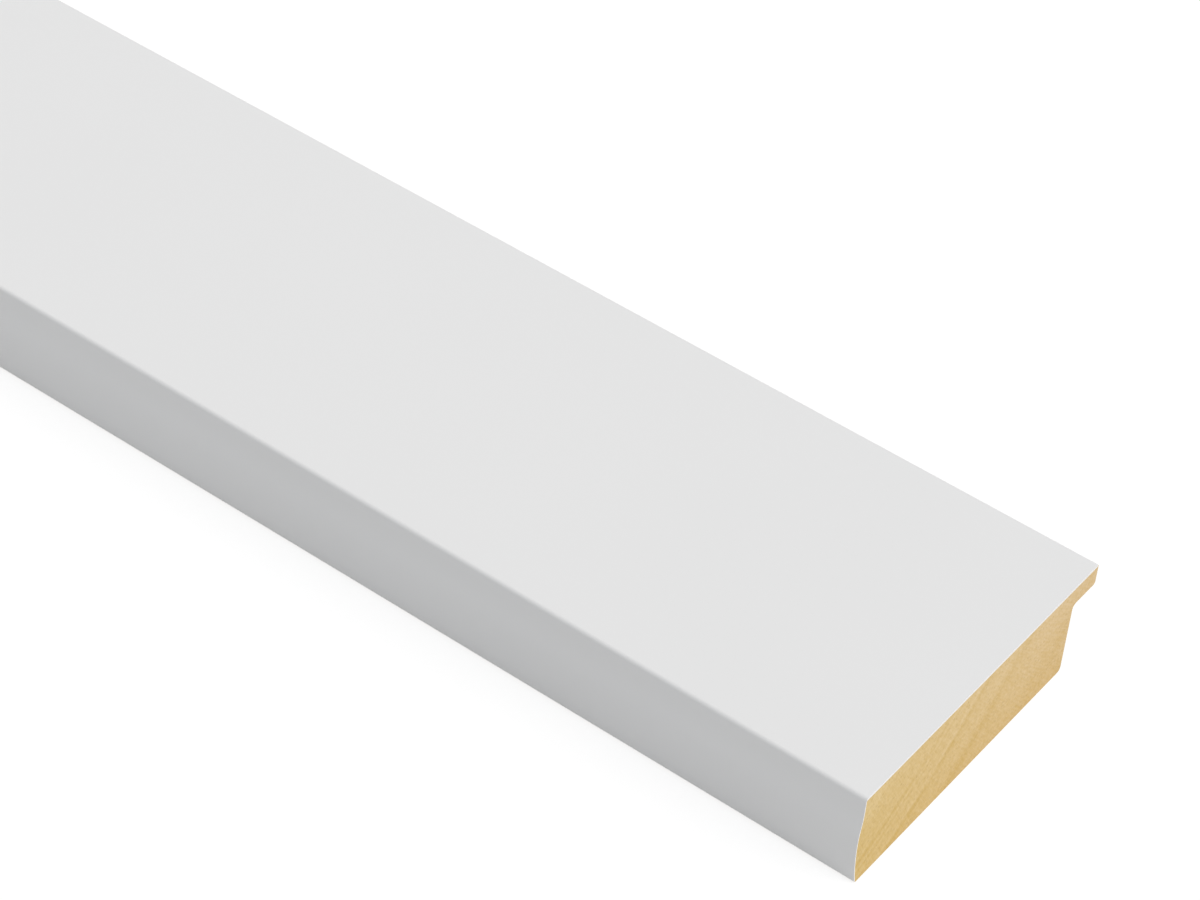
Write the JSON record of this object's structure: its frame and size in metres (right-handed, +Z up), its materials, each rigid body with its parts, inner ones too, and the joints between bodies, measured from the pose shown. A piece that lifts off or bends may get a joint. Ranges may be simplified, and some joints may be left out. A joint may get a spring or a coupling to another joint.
{
  "type": "picture frame moulding",
  "caption": "Straight stick of white-painted wooden picture frame moulding with a wide flat face, a gently ogee outer side and a rebate under the sight edge for glass and backing.",
  "frame": {"origin": "middle of the stick's box, on the plane that its flat back lies on", "axes": "+X along the stick, +Y across the face to the sight edge and the rebate, +Z up from the back to the painted face"},
  "size_m": [1.2, 0.0606, 0.0175],
  "materials": {
    "painted_wood": "satin"
  },
  "bodies": {
    "root": {"moulding": "painted_wood"}
  },
  "joints": []
}
